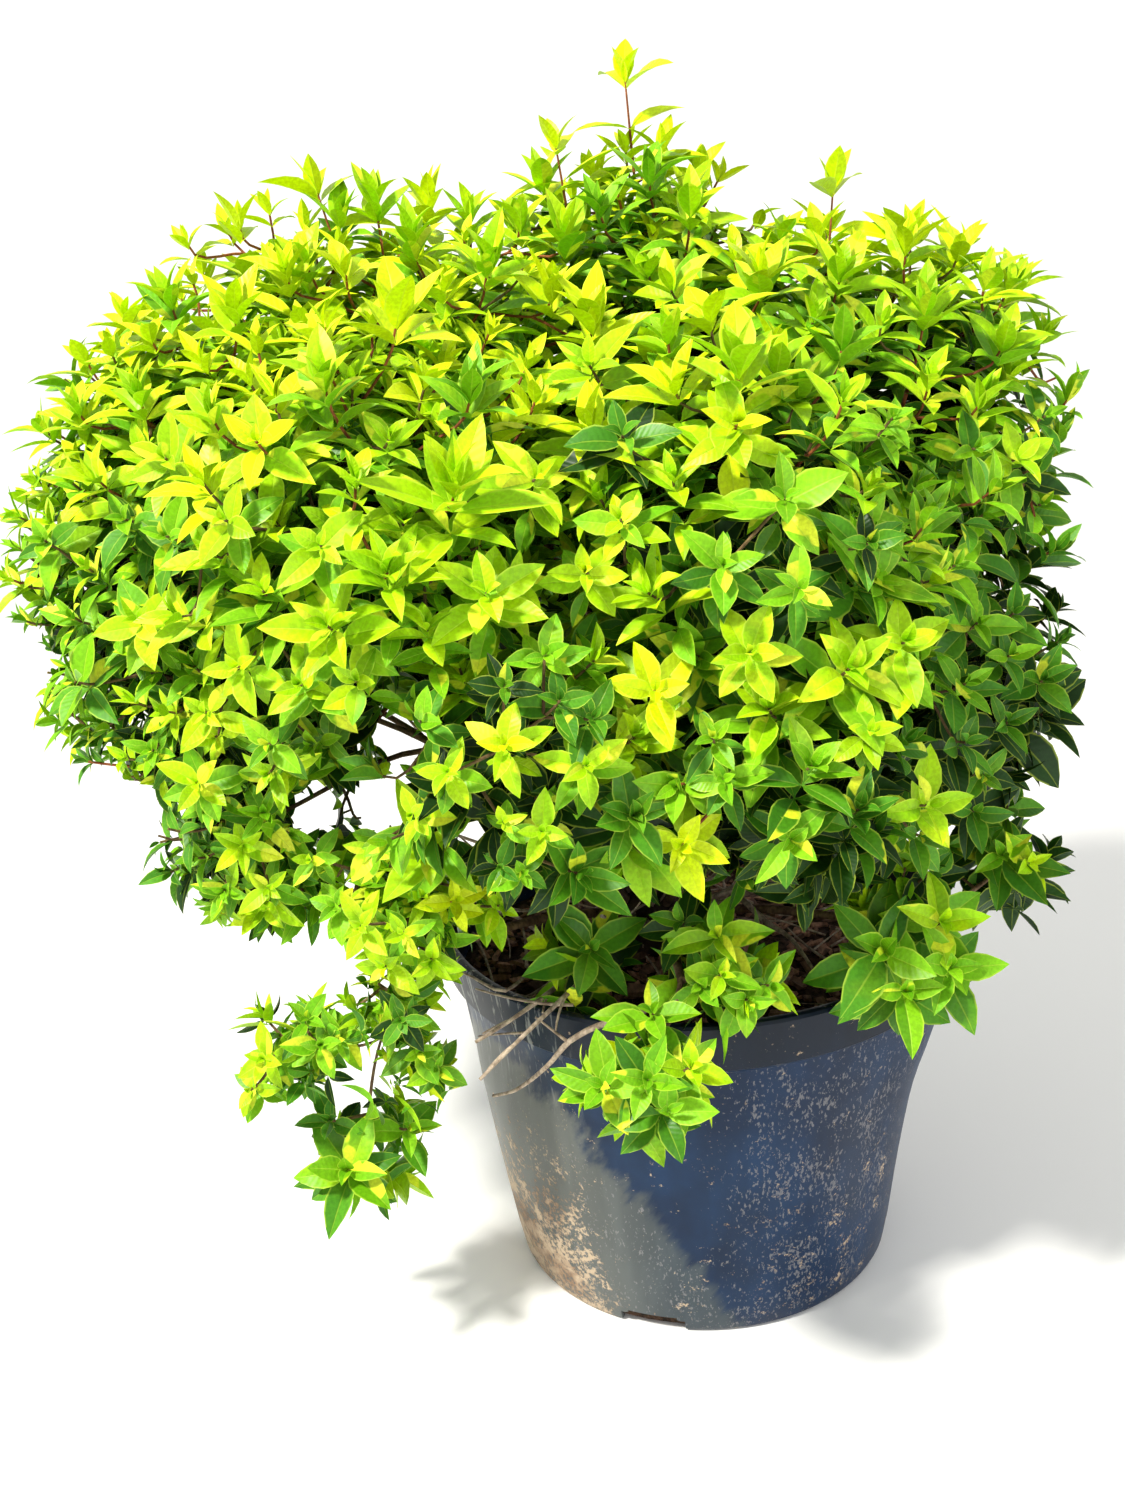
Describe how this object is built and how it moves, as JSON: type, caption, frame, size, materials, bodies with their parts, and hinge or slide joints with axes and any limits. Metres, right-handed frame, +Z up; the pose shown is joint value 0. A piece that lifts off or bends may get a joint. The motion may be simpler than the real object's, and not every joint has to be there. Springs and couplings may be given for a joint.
{
  "type": "potted shrub",
  "caption": "Glossy abelia shrub in a round nursery pot: whorled pointed leaves on arching stems over bark mulch, with a trailing side branch.",
  "frame": {"origin": "middle of the flat underside of the pot", "axes": "+Z up, -Y to the front, where the picture was taken from, +X to the picture's right"},
  "size_m": [0.6916, 0.5557, 0.8417],
  "materials": {
    "pot": "matte charcoal-navy plastic, scuffed, with dried mud",
    "mulch": "dark brown bark mulch over potting mix",
    "stem_bark": "thin tan-brown bark",
    "shoot_bark": "smooth reddish-tan young bark",
    "leaves": "satin leaves, yellow-green in the sun to mid-green in the shade"
  },
  "bodies": {
    "root": {"pot": "pot", "mulch": "mulch", "foot": "stem_bark", "bough_1": "stem_bark", "bough_2": "stem_bark", "bough_3": "stem_bark", "bough_4": "stem_bark", "bough_5": "stem_bark", "bough_6": "stem_bark", "bough_7": "stem_bark", "bough_8": "stem_bark", "bough_top": "stem_bark", "bough_trail_upper": "shoot_bark", "bough_trail_lower": "shoot_bark", "bough_front": "shoot_bark", "bough_rim_right": "shoot_bark", "bough_rim_left": "shoot_bark", "bare_shoot_1": "shoot_bark", "bare_shoot_2": "shoot_bark", "skirt_1": "leaves", "skirt_2": "leaves", "skirt_3": "leaves", "skirt_4": "leaves", "skirt_5": "leaves", "skirt_6": "leaves", "skirt_7": "leaves", "skirt_8": "leaves", "shoulder_1": "leaves", "shoulder_2": "leaves", "shoulder_3": "leaves", "shoulder_4": "leaves", "shoulder_5": "leaves", "shoulder_6": "leaves", "top_left": "leaves", "top_right": "leaves", "top_back": "leaves", "high_left": "leaves", "high_right": "leaves", "out_left": "leaves", "low_left": "leaves", "low_front_left": "leaves", "trail_top": "leaves", "trail_side": "leaves", "trail_inner": "leaves", "trail_tip": "leaves", "rim_front": "leaves", "rim_middle": "leaves", "rim_left": "leaves", "rim_right": "leaves", "low_right": "leaves"}
  },
  "joints": []
}
